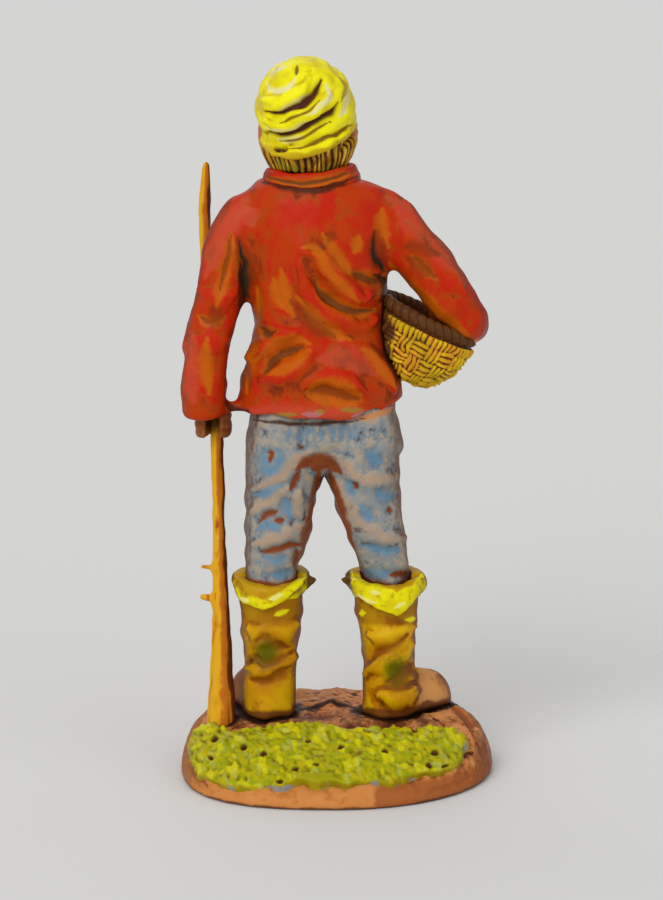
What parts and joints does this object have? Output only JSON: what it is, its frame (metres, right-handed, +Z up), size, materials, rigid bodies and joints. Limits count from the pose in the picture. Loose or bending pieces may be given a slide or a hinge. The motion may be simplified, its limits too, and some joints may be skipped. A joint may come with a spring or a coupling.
{
  "type": "santon figurine",
  "caption": "Painted folk figurine of a standing countryman in knit cap, jacket and turned-down boots, holding a crooked pole and a wicker basket on a grassy mound.",
  "frame": {"origin": "centre of the mound's flat underside", "axes": "+Z up, +Y the way the figure faces, +X to the side of the arm that holds the basket"},
  "size_m": [0.044, 0.041, 0.0998],
  "materials": {
    "earth": "tan body with a brown wash, satin varnish",
    "grass": "yellow-green paint over brown wash",
    "boots": "mustard paint with brown wash, satin varnish",
    "boot_cuffs": "pale yellow paint, satin varnish",
    "trousers": "blue-grey paint rubbed thin over the tan body",
    "jacket": "red paint with ochre rubbed folds and brown wash, satin varnish",
    "skin": "flesh paint with brown wash",
    "hair": "brown wash with ochre strands",
    "cap": "yellow paint with dark creases",
    "pole": "ochre paint with brown streaks",
    "basket": "straw paint over dark brown wash"
  },
  "bodies": {
    "root": {"base_mound": "earth", "grass_bank": "grass", "left_boot": "boots", "right_boot": "boots", "left_boot_cuff": "boot_cuffs", "right_boot_cuff": "boot_cuffs", "trousers": "trousers", "jacket": "jacket", "jacket_collar": "jacket", "left_sleeve": "jacket", "right_sleeve": "jacket", "left_hand": "skin", "right_hand": "skin", "head": "skin", "hair": "hair", "cap": "cap", "pole": "pole", "basket_bowl": "basket", "basket_rim": "basket"}
  },
  "joints": []
}
